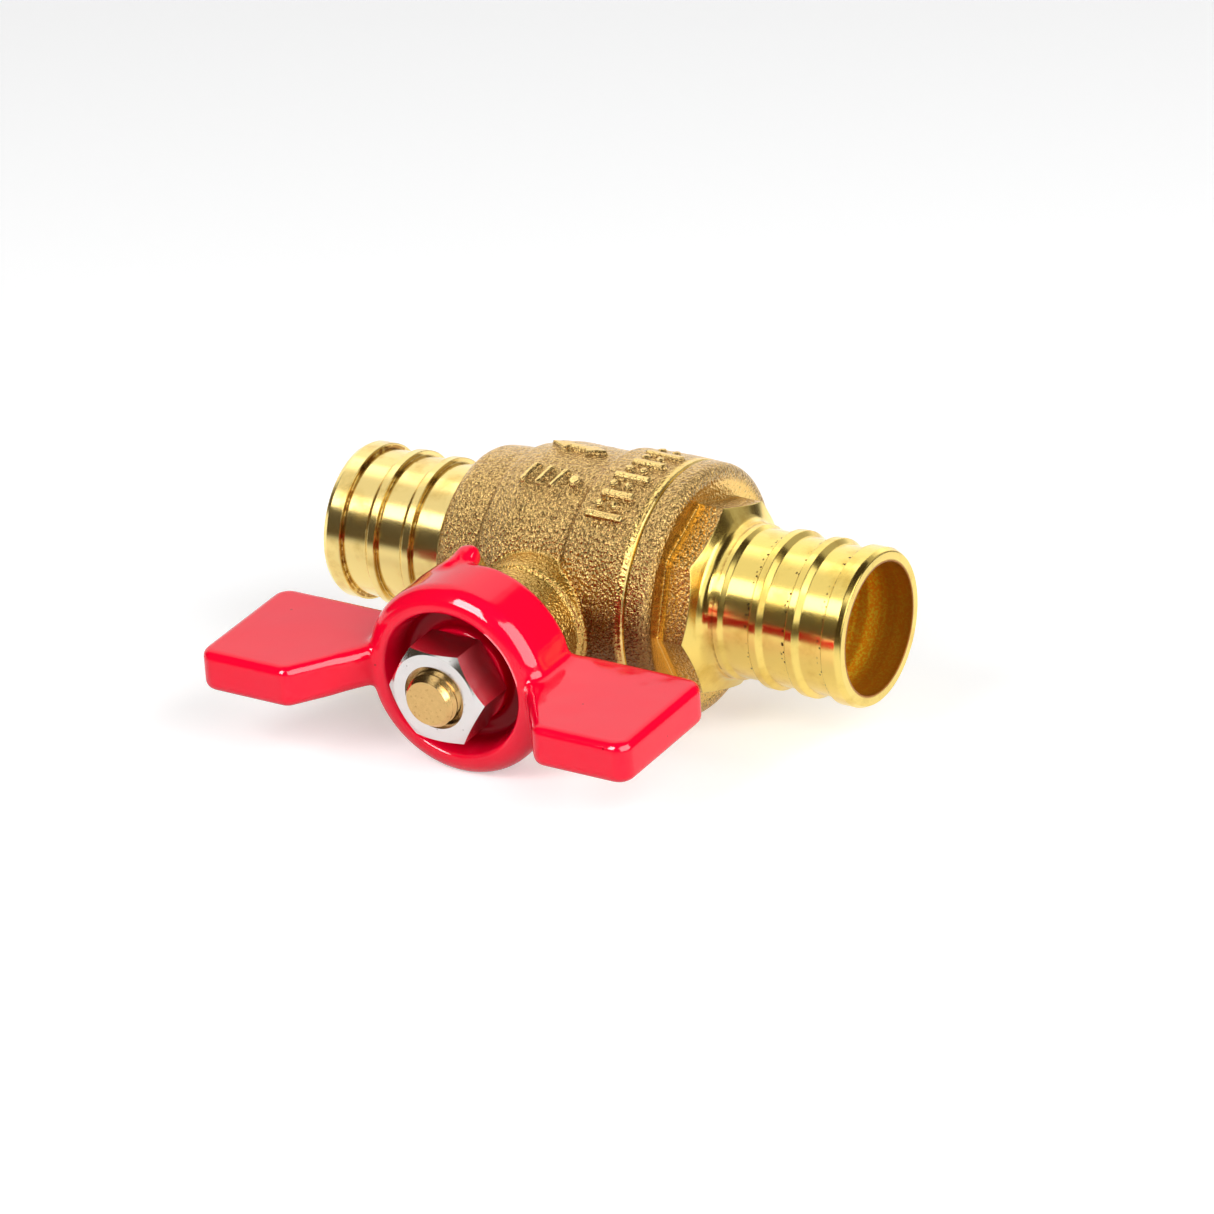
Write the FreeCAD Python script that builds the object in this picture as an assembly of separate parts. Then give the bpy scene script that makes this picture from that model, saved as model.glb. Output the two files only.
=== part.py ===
import FreeCAD, Part
import math
import os

from FreeCAD import Vector

# Quarter-turn ball valve for 3/4 inch plastic tube, with a dipped butterfly handle.
# All sizes are millimetres.
#
# Frame: the origin is the centre of the ball, where the pipe axis meets the stem axis.
# X runs along the pipe axis, from the cast body's barbed tail (-X) to the screwed-in
# end adapter's barbed tail (+X).  The stem points along -Y, so the valve lies on its
# side, and Z is up.  "height" below means a distance from the pipe axis along the stem.

# ---- driving dimensions -------------------------------------------------------------

# the barbed tails
BORE_RADIUS = 7.45
CREST_RADIUS = 8.92
VALLEY_RADIUS = 8.35
RIM_RADIUS = 8.6
STUB_RADIUS = 8.7
LEFT_END = 30.35
RIGHT_END = 35.95
RIM_TAPER = 0.6
RIM_ROUND = 0.15
END_LAND = 2.3
RIB_PITCH = 4.53
RIB_COUNT = 2
RIB_LAND = 0.9
RIB_RAMP = 0.55
STUB_START = 15.35

# the cast body
COLLAR_FACE = 14.5
COLLAR_FACE_RADIUS = 11.35
COLLAR_ROUND = 1.9
COLLAR_CROWN = 11.0
COLLAR_RADIUS = 11.64
CREASE = 8.8
BARREL_START = 8.2
BARREL_START_RADIUS = 12.5
BARREL_CROWN = 4.6
BARREL_RADIUS = 13.4
DRUM_START = 2.9
DRUM_EDGE = 3.6
DRUM_EDGE_RADIUS = 14.15
DRUM_CROWN = 7.5
DRUM_RADIUS = 14.35
SEAM = 12.0
CAST_CURVE = 6.0
CAST_EDGE = 0.5
CAST_CREASE = 0.25
CAVITY_RADIUS = 11.2
CAVITY_START = 7.2
CAVITY_ROUND = 0.8

# the end adapter
THREAD_RADIUS = 12.4
NOSE = 5.7
SHOULDER_END = 14.95
SHOULDER_DISH = 0.5
SHOULDER_FACE_RADIUS = 14.25
SHOULDER_ROUND = 1.3
NOSE_ROUND = 0.4
OCTAGON_CORNER_RADIUS = 11.15
OCTAGON_TURN = -3.5
OCTAGON_EDGE_ROUND = 0.35
OCTAGON_END = 21.0
CONE_START = 17.5
CONE_TOP_RADIUS = 13.0
CONE_STEEPNESS = 2.1
CONE_ROUND = 1.2

# the ball and its seats
BALL_RADIUS = 10.8
SEAT_RADIUS = 9.9
SEAT_BACK = 9.4
SEAT_FRONT = 5.2
SLOT_FLOOR = 8.6
SLOT_WIDTH = 4.2
SEAL_THICKNESS = 0.4

# the stem boss and everything on the stem axis
BOSS_RADIUS = 6.7
BOSS_TOP = 20.0
BOSS_EDGE = 0.4
BOSS_FOOT_RADIUS = 7.15
BOSS_FOOT_TOP = 14.9
BOSS_FOOT_ROUND = 0.3
STEM_RADIUS = 3.6
STEM_FLANGE_RADIUS = 4.7
FLANGE_BOTTOM = 10.95
FLANGE_BASE = 10.45
FLANGE_BASE_RADIUS = 4.2
STEM_EDGE = 0.2
FLANGE_TOP = 12.25
FLANGE_POCKET_TOP = 12.8
TANG_LENGTH = 8.0
PACKING_RADIUS = 5.2
PACKING_BOTTOM = 15.5
PACKING_RING_HEIGHT = 1.2
GLAND_NUT_FLATS = 11.0
GLAND_NUT_TOP = 23.4
STEM_THREAD_RADIUS = 3.0
STEM_THREAD_PITCH = 1.0
STEM_THREAD_DEPTH = 0.5
STEM_THREAD_MOUTH = 0.92
STEM_THREAD_START = 29.4
STEM_FLATS = 4.6
STEM_END = 35.3
STEM_END_CHAMFER = 0.45

# the handle: one cast core, dipped in a skin of soft vinyl
SKIN = 0.6
HUB_RADIUS = 11.2
HUB_REAR = 22.5
HUB_LIP = 30.6
HUB_ROUND = 2.1
HUB_REAR_ROUND = 0.9
LIP_INNER_RADIUS = 8.5
LIP_INNER_ROUND = 0.5
RECESS_FLOOR_RADIUS = 7.7
RECESS_FLOOR = 26.6
RECESS_ROUND = 0.8
REAR_CAVITY_RADIUS = 8.5
REAR_CAVITY_TOP = 24.0
REAR_CAVITY_ROUND = 0.8
COLUMN_RADIUS = 5.6
COLUMN_TOP = 28.4
COLUMN_ROUND = 0.5
PAD_RADIUS = COLUMN_RADIUS - SKIN
PAD_TOP = 28.6
REAR_HOLE_RADIUS = 4.4
STEM_SHOULDER = REAR_CAVITY_TOP + SKIN
WING_HALF_THICKNESS = 2.4
WING_SPAN = 27.1
WING_FRONT = 39.0
WING_INNER_CORNER = 15.7
WING_SLOPE = 54.0
WING_EDGE_ROUND = 1.0
WING_REAR = 21.8
WING_REAR_CORNER = 2.0
WING_FRONT_CORNER = 1.9
WING_INNER_ROUND = 1.6

# the stops: two fingers on the handle and an ear on the boss between them
FINGER_ANGLE = 104.0
FINGER_INNER_RADIUS = 10.0
FINGER_OUTER_RADIUS = 12.3
FINGER_HALF_WIDTH = 1.4
FINGER_TIP = 20.0
FINGER_SHOULDER = 21.3
FINGER_ROOT = 24.4
FINGER_ROUND = 1.0
FINGER_SIDE_ROUND = 0.9
FINGER_SHOULDER_ROUND = 1.0
TRAVEL = 90.0
EAR_INNER_RADIUS = 6.5
EAR_OUTER_RADIUS = 10.8
EAR_BOTTOM = 17.5
EAR_TOP = 21.5
EAR_HALF_WIDTH = 1.4
EAR_ROUND = 0.5
STOP_GAP = 0.08

# the handle nut
NUT_FLATS = 10.5
NUT_HEIGHT = 5.2
NUT_FACE_RADIUS = 5.1
NUT_CHAMFER = 30.0
NUT_COUNTERSINK = 3.7

# clearances
TURNING_GAP = 0.05
THREAD_GAP = 0.05
TINY = 0.03
REACH = 40.0

PIPE_AXIS = Vector(1, 0, 0)
STEM_AXIS = Vector(0, -1, 0)
CENTRE = Vector(0, 0, 0)


# ---- drawing helpers ----------------------------------------------------------------

def pipe_plane(x, radius):
    """A point of an outline that turns about the pipe axis."""
    return Vector(x, 0, radius)


def stem_plane(radius, height):
    """A point of an outline that turns about the stem axis."""
    return Vector(radius, -height, 0)


def rounded_face(corners, place):
    """A flat face whose outline runs through corners (a, b, rounding radius)."""
    points = [place(a, b) for a, b, _ in corners]
    arcs = []
    for index, (point, corner) in enumerate(zip(points, corners)):
        radius = corner[2]
        if radius == 0:
            arcs.append((point, None, point))
            continue
        inward = (points[index - 1] - point).normalize()
        outward = (points[(index + 1) % len(points)] - point).normalize()
        half_angle = inward.getAngle(outward) / 2
        setback = radius / math.tan(half_angle)
        bisector = (inward + outward).normalize()
        middle = point + bisector * (radius / math.sin(half_angle) - radius)
        arcs.append((point + inward * setback, middle, point + outward * setback))
    edges = []
    for index, (start, middle, stop) in enumerate(arcs):
        if middle is not None:
            edges.append(Part.Arc(start, middle, stop).toShape())
        following = arcs[(index + 1) % len(arcs)][0]
        if (following - stop).Length > 1e-6:
            edges.append(Part.makeLine(stop, following))
    return Part.Face(Part.Wire(edges))


def turned_on_pipe(corners):
    """A solid of revolution about the pipe axis from corners (x, radius, rounding)."""
    return rounded_face(corners, pipe_plane).revolve(CENTRE, PIPE_AXIS, 360)


def turned_on_stem(corners):
    """A solid of revolution about the stem axis from corners (radius, height, rounding)."""
    return rounded_face(corners, stem_plane).revolve(CENTRE, STEM_AXIS, 360)


def pipe_cylinder(radius, start, stop):
    """A cylinder on the pipe axis between two X values."""
    return Part.makeCylinder(radius, stop - start, Vector(start, 0, 0), PIPE_AXIS)


def stem_cylinder(radius, bottom, top):
    """A cylinder on the stem axis between two heights."""
    return Part.makeCylinder(radius, top - bottom, STEM_AXIS * bottom, STEM_AXIS)


def stem_ring(inner, outer, bottom, top):
    """A plain ring on the stem axis."""
    return stem_cylinder(outer, bottom, top).cut(stem_cylinder(inner, bottom, top))


def stem_block(x_low, x_high, bottom, top, z_low, z_high):
    """A box whose length along the stem runs between two heights."""
    corner = Vector(x_low, -top, z_low)
    return Part.makeBox(x_high - x_low, top - bottom, z_high - z_low, corner)


def turned_about_stem(shape, degrees):
    """The shape turned about the stem, from +X towards +Z."""
    moved = shape.copy()
    moved.rotate(CENTRE, STEM_AXIS, degrees)
    return moved


def hexagon_prism(flats, bottom, top):
    """A hexagonal bar on the stem axis with a corner towards +X."""
    corner_radius = flats / 2 / math.cos(math.radians(30))
    corners = []
    for index in range(7):
        angle = math.radians(60 * index)
        x = corner_radius * math.cos(angle)
        z = corner_radius * math.sin(angle)
        corners.append(Vector(x, -bottom, z))
    return Part.Face(Part.makePolygon(corners)).extrude(STEM_AXIS * (top - bottom))


# ---- the barbed tails ---------------------------------------------------------------

def tail_corners(end, side):
    """Outer outline of a barbed tail, from its rim to the root of its stub.

    The ribs are saw teeth: each has a ramp towards the tail's end, a narrow land, and a
    square step that faces the body and holds the tube.
    """
    def at(distance, radius, rounding=0.0):
        return (side * (end - distance), radius, rounding)

    corners = [
        at(0, RIM_RADIUS, RIM_ROUND),
        at(RIM_TAPER, CREST_RADIUS),
        at(END_LAND, CREST_RADIUS),
        at(END_LAND, VALLEY_RADIUS),
    ]
    for rib in range(1, RIB_COUNT + 1):
        step = END_LAND + rib * RIB_PITCH
        corners += [
            at(step - RIB_LAND - RIB_RAMP, VALLEY_RADIUS),
            at(step - RIB_LAND, CREST_RADIUS),
            at(step, CREST_RADIUS),
            at(step, VALLEY_RADIUS),
        ]
    corners += [
        at(STUB_START - RIB_RAMP, VALLEY_RADIUS),
        at(STUB_START, STUB_RADIUS),
    ]
    return corners


# ---- the pressure shell -------------------------------------------------------------

def stop_ear():
    """A small cast ear that sticks out of the boss and stops both of the handle's fingers."""
    ear = stem_block(
        EAR_INNER_RADIUS, EAR_OUTER_RADIUS, EAR_BOTTOM, EAR_TOP, -EAR_HALF_WIDTH, EAR_HALF_WIDTH
    )
    tip_edges = [edge for edge in ear.Edges if edge.CenterOfMass.x > EAR_OUTER_RADIUS - TINY]
    return turned_about_stem(ear.makeFillet(EAR_ROUND, tip_edges), FINGER_ANGLE + ear_offset())


def ear_offset():
    """Angle between the finger's middle and the middle of an ear that it just meets."""
    finger_side = math.asin((FINGER_HALF_WIDTH + EAR_HALF_WIDTH + STOP_GAP) / EAR_OUTER_RADIUS)
    return math.degrees(finger_side)


def body_outside():
    """The cast body's outer shape, still solid, with its boss and stop ear."""
    corners = [(-LEFT_END, 0, 0)] + tail_corners(LEFT_END, -1)
    corners += [
        (-COLLAR_FACE, STUB_RADIUS, CAST_CREASE),
        (-COLLAR_FACE, COLLAR_FACE_RADIUS, COLLAR_ROUND),
        (-COLLAR_CROWN, COLLAR_RADIUS, CAST_CURVE),
        (-CREASE, COLLAR_RADIUS, CAST_CREASE),
        (-BARREL_START, BARREL_START_RADIUS, CAST_EDGE),
        (-BARREL_CROWN, BARREL_RADIUS, CAST_CURVE),
        (DRUM_START, BARREL_RADIUS, CAST_CREASE),
        (DRUM_EDGE, DRUM_EDGE_RADIUS, CAST_EDGE),
        (DRUM_CROWN, DRUM_RADIUS, CAST_CURVE),
        (SEAM, DRUM_RADIUS, CAST_CREASE),
        (SEAM, 0, 0),
    ]
    shell = turned_on_pipe(corners)
    boss = turned_on_stem([
        (0, 0, 0),
        (BOSS_FOOT_RADIUS, 0, 0),
        (BOSS_FOOT_RADIUS, BOSS_FOOT_TOP, BOSS_FOOT_ROUND),
        (BOSS_RADIUS, BOSS_FOOT_TOP, 0),
        (BOSS_RADIUS, BOSS_TOP, BOSS_EDGE),
        (0, BOSS_TOP, 0),
    ])
    return shell.fuse([boss, stop_ear()]).removeSplitter()


def make_body():
    """Cast brass body: left tail, ball chamber, female thread and stem boss."""
    waterway = pipe_cylinder(BORE_RADIUS, -REACH, 0)
    seat_pocket = pipe_cylinder(SEAT_RADIUS, -SEAT_BACK, 0)
    chamber = turned_on_pipe([
        (-CAVITY_START, 0, 0),
        (-CAVITY_START, CAVITY_RADIUS, CAVITY_ROUND),
        (NOSE - SEAL_THICKNESS, CAVITY_RADIUS, 0),
        (NOSE - SEAL_THICKNESS, THREAD_RADIUS, 0),
        (REACH, THREAD_RADIUS, 0),
        (REACH, 0, 0),
    ])
    stem_bore = turned_on_stem([
        (0, 0, 0),
        (STEM_FLANGE_RADIUS + TURNING_GAP, 0, 0),
        (STEM_FLANGE_RADIUS + TURNING_GAP, FLANGE_POCKET_TOP, 0),
        (STEM_RADIUS + TURNING_GAP, FLANGE_POCKET_TOP, 0),
        (STEM_RADIUS + TURNING_GAP, PACKING_BOTTOM, 0),
        (PACKING_RADIUS, PACKING_BOTTOM, 0),
        (PACKING_RADIUS, REACH, 0),
        (0, REACH, 0),
    ])
    return body_outside().cut([waterway, seat_pocket, chamber, stem_bore])


def octagon_bar():
    """The adapter's rough wrench bar, a turned octagon with slightly rounded edges."""
    corners = []
    for index in range(8):
        angle = math.radians(45 * index + OCTAGON_TURN)
        across = OCTAGON_CORNER_RADIUS * math.cos(angle)
        up = OCTAGON_CORNER_RADIUS * math.sin(angle)
        corners.append((across, up, OCTAGON_EDGE_ROUND))

    def place(across, up):
        return Vector(SEAM, -across, up)

    return rounded_face(corners, place).extrude(PIPE_AXIS * (OCTAGON_END - SEAM))


def make_end_adapter():
    """Screwed-in brass end: threaded nose, shoulder, octagon, cone and right tail."""
    octagon_base = SHOULDER_END - SHOULDER_DISH
    shoulder = turned_on_pipe([
        (NOSE, 0, 0),
        (NOSE, THREAD_RADIUS - THREAD_GAP, NOSE_ROUND),
        (SEAM, THREAD_RADIUS - THREAD_GAP, 0),
        (SEAM, DRUM_RADIUS, CAST_CREASE),
        (SHOULDER_END, SHOULDER_FACE_RADIUS, SHOULDER_ROUND),
        (octagon_base, OCTAGON_CORNER_RADIUS, 0),
        (octagon_base, 0, 0),
    ])
    cone_top = CONE_START - (CONE_TOP_RADIUS - OCTAGON_CORNER_RADIUS) / CONE_STEEPNESS
    cone_foot = CONE_START + (OCTAGON_CORNER_RADIUS - STUB_RADIUS) / CONE_STEEPNESS
    cone = turned_on_pipe([
        (SEAM, 0, 0),
        (SEAM, CONE_TOP_RADIUS, 0),
        (cone_top, CONE_TOP_RADIUS, 0),
        (cone_foot, STUB_RADIUS, CONE_ROUND),
        (RIGHT_END - STUB_START, STUB_RADIUS, 0),
        (RIGHT_END - STUB_START, 0, 0),
    ])
    outline = tail_corners(RIGHT_END, 1)
    outline += [(cone_foot, STUB_RADIUS, 0), (cone_foot, 0, 0), (RIGHT_END, 0, 0)]
    tail = turned_on_pipe(outline)
    wrench_part = octagon_bar().common(cone)
    outside = shoulder.fuse([wrench_part, tail]).removeSplitter()
    seat_pocket = pipe_cylinder(SEAT_RADIUS, 0, SEAT_BACK)
    waterway = pipe_cylinder(BORE_RADIUS, 0, REACH)
    return outside.cut([seat_pocket, waterway])


def make_body_seal():
    """Flat ring squeezed between the body's step and the adapter's nose."""
    ring = pipe_cylinder(THREAD_RADIUS - THREAD_GAP, NOSE - SEAL_THICKNESS, NOSE)
    return ring.cut(pipe_cylinder(CAVITY_RADIUS, NOSE - SEAL_THICKNESS, NOSE))


# ---- the ball and its seats ---------------------------------------------------------

def make_ball():
    """Full-port ball with a groove across its top for the stem's tang."""
    ball = Part.makeSphere(BALL_RADIUS)
    port = pipe_cylinder(BORE_RADIUS, -REACH, REACH)
    groove = stem_block(-SLOT_WIDTH / 2, SLOT_WIDTH / 2, SLOT_FLOOR, REACH, -REACH, REACH)
    return ball.cut([port, groove])


def make_seat(side):
    """Soft seat ring whose face is a patch of a sphere just larger than the ball."""
    near, far = sorted((side * SEAT_FRONT, side * SEAT_BACK))
    ring = pipe_cylinder(SEAT_RADIUS, near, far).cut(pipe_cylinder(BORE_RADIUS, near, far))
    return ring.cut(Part.makeSphere(BALL_RADIUS + TINY))


# ---- the stem and its seals ---------------------------------------------------------

def thread_groove(turns):
    """The V-shaped helical groove of the stem's thread."""
    helix = Part.makeHelix(STEM_THREAD_PITCH, turns * STEM_THREAD_PITCH, STEM_THREAD_RADIUS)
    half_width = STEM_THREAD_PITCH * STEM_THREAD_MOUTH / 2
    mouth = STEM_THREAD_RADIUS + THREAD_GAP
    root = STEM_THREAD_RADIUS - STEM_THREAD_DEPTH
    section = Part.makePolygon([
        Vector(mouth, 0, -half_width),
        Vector(root, 0, 0),
        Vector(mouth, 0, half_width),
        Vector(mouth, 0, -half_width),
    ])
    groove = Part.Wire(helix).makePipeShell([section], True, True)
    groove.rotate(CENTRE, Vector(1, 0, 0), 90)
    groove.translate(STEM_AXIS * STEM_THREAD_START)
    return groove


def make_stem():
    """Blow-out-proof brass stem: tang, inner flange, shank, flats and threaded end."""
    shank = turned_on_stem([
        (0, FLANGE_BASE, 0),
        (FLANGE_BASE_RADIUS, FLANGE_BASE, 0),
        (FLANGE_BASE_RADIUS, FLANGE_BOTTOM, 0),
        (STEM_FLANGE_RADIUS, FLANGE_BOTTOM, 0),
        (STEM_FLANGE_RADIUS, FLANGE_TOP, STEM_EDGE),
        (STEM_RADIUS, FLANGE_TOP, 0),
        (STEM_RADIUS, STEM_SHOULDER, STEM_EDGE),
        (STEM_THREAD_RADIUS, STEM_SHOULDER, 0),
        (STEM_THREAD_RADIUS, REACH, 0),
        (0, REACH, 0),
    ])
    tang_width = SLOT_WIDTH - 2 * TURNING_GAP
    tang = stem_block(
        -tang_width / 2, tang_width / 2, SLOT_FLOOR + TURNING_GAP, FLANGE_TOP,
        -TANG_LENGTH / 2, TANG_LENGTH / 2,
    )
    tang_round = stem_cylinder(TANG_LENGTH / 2, SLOT_FLOOR, FLANGE_TOP)
    flats = [
        stem_block(-REACH, REACH, STEM_SHOULDER, PAD_TOP, STEM_FLATS / 2, REACH),
        stem_block(-REACH, REACH, STEM_SHOULDER, PAD_TOP, -REACH, -STEM_FLATS / 2),
    ]
    ball_room = Part.makeSphere(BALL_RADIUS + TURNING_GAP)
    stem = shank.cut(ball_room).fuse(tang.common(tang_round)).removeSplitter()
    turns = math.ceil((STEM_END - STEM_THREAD_START) / STEM_THREAD_PITCH) + 1
    threaded = stem.cut(flats).cut(thread_groove(turns))
    beyond_end = turned_on_stem([
        (0, STEM_END, 0),
        (STEM_THREAD_RADIUS - STEM_END_CHAMFER, STEM_END, 0),
        (STEM_THREAD_RADIUS + STEM_END_CHAMFER, STEM_END - 2 * STEM_END_CHAMFER, 0),
        (STEM_THREAD_RADIUS + STEM_END_CHAMFER, 2 * REACH, 0),
        (0, 2 * REACH, 0),
    ])
    return threaded.cut(beyond_end)


def make_thrust_washer():
    """Low-friction washer between the stem's flange and the body."""
    return stem_ring(
        STEM_RADIUS + TURNING_GAP, STEM_FLANGE_RADIUS, FLANGE_TOP + TINY, FLANGE_POCKET_TOP
    )


def make_packing_ring(number):
    """One of the packing rings, counted from the bottom of the chamber."""
    bottom = PACKING_BOTTOM + number * PACKING_RING_HEIGHT
    return stem_ring(STEM_RADIUS + TINY, PACKING_RADIUS, bottom, bottom + PACKING_RING_HEIGHT)


def make_packing_nut():
    """Hollow hex screw that squeezes the packing rings."""
    head = hexagon_prism(GLAND_NUT_FLATS, BOSS_TOP, GLAND_NUT_TOP)
    chamfer = turned_on_stem([
        (0, BOSS_TOP, 0),
        (GLAND_NUT_FLATS, BOSS_TOP, 0),
        (GLAND_NUT_FLATS / 2, GLAND_NUT_TOP, 0),
        (0, GLAND_NUT_TOP, 0),
    ])
    skirt_bottom = PACKING_BOTTOM + 2 * PACKING_RING_HEIGHT
    skirt = stem_cylinder(PACKING_RADIUS - THREAD_GAP, skirt_bottom, BOSS_TOP)
    hole = stem_cylinder(STEM_RADIUS + 2 * TURNING_GAP, skirt_bottom, GLAND_NUT_TOP)
    return head.common(chamfer).fuse(skirt).cut(hole).removeSplitter()


# ---- the handle ---------------------------------------------------------------------

def hub_cup(skin):
    """The handle's round cup, moved inwards everywhere by the thickness of the skin."""
    inner_round = max(LIP_INNER_ROUND - skin, 0)
    return turned_on_stem([
        (0, REAR_CAVITY_TOP + skin, 0),
        (REAR_CAVITY_RADIUS + skin, REAR_CAVITY_TOP + skin, REAR_CAVITY_ROUND),
        (REAR_CAVITY_RADIUS + skin, HUB_REAR + skin, inner_round),
        (HUB_RADIUS - skin, HUB_REAR + skin, HUB_REAR_ROUND - skin),
        (HUB_RADIUS - skin, HUB_LIP - skin, HUB_ROUND - skin),
        (LIP_INNER_RADIUS + skin, HUB_LIP - skin, inner_round),
        (RECESS_FLOOR_RADIUS + skin, RECESS_FLOOR - skin, RECESS_ROUND),
        (COLUMN_RADIUS - skin, RECESS_FLOOR - skin, COLUMN_ROUND),
        (COLUMN_RADIUS - skin, COLUMN_TOP - skin, 0),
        (0, COLUMN_TOP - skin, 0),
    ])


def wing(skin, side):
    """One flat wing: it leans out past the cup and ends in a straight upright tip."""
    slope = math.radians(WING_SLOPE)
    front = WING_FRONT - skin
    rear = WING_REAR + skin
    inner_corner = WING_INNER_CORNER + skin * math.tan(slope / 2)
    root = (HUB_RADIUS + LIP_INNER_RADIUS) / 2
    root_front = front - (inner_corner - root) * math.tan(slope)
    corners = [
        (side * root, rear, 0),
        (side * (WING_SPAN - skin), rear, WING_REAR_CORNER - skin),
        (side * (WING_SPAN - skin), front, WING_FRONT_CORNER - skin),
        (side * inner_corner, front, WING_INNER_ROUND - skin),
        (side * root, root_front, 0),
    ]
    half_thickness = WING_HALF_THICKNESS - skin

    def place(x, height):
        return Vector(x, -height, -half_thickness)

    plate = rounded_face(corners, place).extrude(Vector(0, 0, 2 * half_thickness))
    outer_edges = []
    for edge in plate.Edges:
        middle = edge.CenterOfMass
        if abs(abs(middle.z) - half_thickness) < TINY and abs(middle.x) > root + TINY:
            outer_edges.append(edge)
    return plate.makeFillet(WING_EDGE_ROUND - skin / 2, outer_edges)


def stop_finger(skin, angle):
    """A finger that grows out of the cup's side and reaches back towards the boss."""
    half_width = FINGER_HALF_WIDTH - skin
    corners = [
        (FINGER_INNER_RADIUS + skin, FINGER_TIP + skin, FINGER_ROUND - skin),
        (FINGER_OUTER_RADIUS - skin, FINGER_TIP + skin, FINGER_ROUND - skin),
        (FINGER_OUTER_RADIUS - skin, FINGER_SHOULDER + skin, FINGER_SHOULDER_ROUND - skin),
        (HUB_RADIUS - SKIN - skin, FINGER_ROOT, 0),
        (REAR_CAVITY_RADIUS + skin, FINGER_ROOT, 0),
    ]

    def place(radius, height):
        return Vector(radius, -height, -half_width)

    finger = rounded_face(corners, place).extrude(Vector(0, 0, 2 * half_width))
    side_edges = []
    for edge in finger.Edges:
        middle = edge.CenterOfMass
        if abs(abs(middle.z) - half_width) < TINY and -middle.y < FINGER_ROOT - TINY:
            side_edges.append(edge)
    rounded = finger.makeFillet(FINGER_SIDE_ROUND - skin, side_edges)
    return turned_about_stem(rounded, angle)


def handle_shape(skin):
    """Cup, wings and fingers together; no skin gives the outside of the dipped handle."""
    closed_angle = FINGER_ANGLE + TRAVEL + 2 * ear_offset()
    fingers = [stop_finger(skin, FINGER_ANGLE), stop_finger(skin, closed_angle)]
    pieces = [wing(skin, 1), wing(skin, -1)] + fingers
    return hub_cup(skin).fuse(pieces).removeSplitter()


def make_handle_core():
    """The bare cast handle inside the skin, with the pad that the nut clamps."""
    pad = stem_cylinder(PAD_RADIUS - 2 * TINY, REAR_CAVITY_TOP + SKIN, PAD_TOP)
    stem_hole = stem_cylinder(STEM_THREAD_RADIUS + TURNING_GAP, REAR_CAVITY_TOP, PAD_TOP)
    flats = stem_block(
        -REACH, REACH, REAR_CAVITY_TOP, PAD_TOP,
        -STEM_FLATS / 2 - TURNING_GAP, STEM_FLATS / 2 + TURNING_GAP,
    )
    return handle_shape(SKIN).fuse(pad).cut(stem_hole.common(flats)).removeSplitter()


def make_handle_skin():
    """Soft vinyl skin over the whole core, open only at the nut's pad and the stem."""
    middle = (REAR_CAVITY_TOP + PAD_TOP) / 2
    pad_hole = stem_cylinder(PAD_RADIUS, middle, REACH)
    stem_hole = stem_cylinder(REAR_HOLE_RADIUS, 0, middle)
    return handle_shape(0.0).cut([handle_shape(SKIN), pad_hole, stem_hole])


def make_handle_nut():
    """Plain hex nut with chamfered corners and a countersunk thread."""
    top = PAD_TOP + NUT_HEIGHT
    bar = hexagon_prism(NUT_FLATS, PAD_TOP, top)
    chamfer_drop = (NUT_FLATS - NUT_FACE_RADIUS) * math.tan(math.radians(NUT_CHAMFER))
    chamfer = turned_on_stem([
        (0, PAD_TOP, 0),
        (NUT_FLATS, PAD_TOP, 0),
        (NUT_FLATS, top - chamfer_drop, 0),
        (NUT_FACE_RADIUS, top, 0),
        (0, top, 0),
    ])
    hole_radius = STEM_THREAD_RADIUS + THREAD_GAP
    hole = turned_on_stem([
        (0, 0, 0),
        (hole_radius, 0, 0),
        (hole_radius, top - (NUT_COUNTERSINK - hole_radius), 0),
        (NUT_COUNTERSINK, top, 0),
        (NUT_COUNTERSINK, REACH, 0),
        (0, REACH, 0),
    ])
    return bar.common(chamfer).cut(hole)


# ---- write one STEP file for each piece ---------------------------------------------

PIECES = {
    "body": make_body(),
    "end_adapter": make_end_adapter(),
    "body_seal": make_body_seal(),
    "ball": make_ball(),
    "seat_left": make_seat(-1),
    "seat_right": make_seat(1),
    "stem": make_stem(),
    "stem_thrust_washer": make_thrust_washer(),
    "packing_ring_lower": make_packing_ring(0),
    "packing_ring_upper": make_packing_ring(1),
    "packing_nut": make_packing_nut(),
    "handle_core": make_handle_core(),
    "handle_skin": make_handle_skin(),
    "handle_nut": make_handle_nut(),
}

os.makedirs("parts", exist_ok=True)
for node, shape in PIECES.items():
    shape.exportStep("parts/" + node + ".step")
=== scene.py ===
import math

import bmesh
import bpy
import numpy as np
from mathutils import Matrix, Vector, noise
from mathutils.bvhtree import BVHTree


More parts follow.
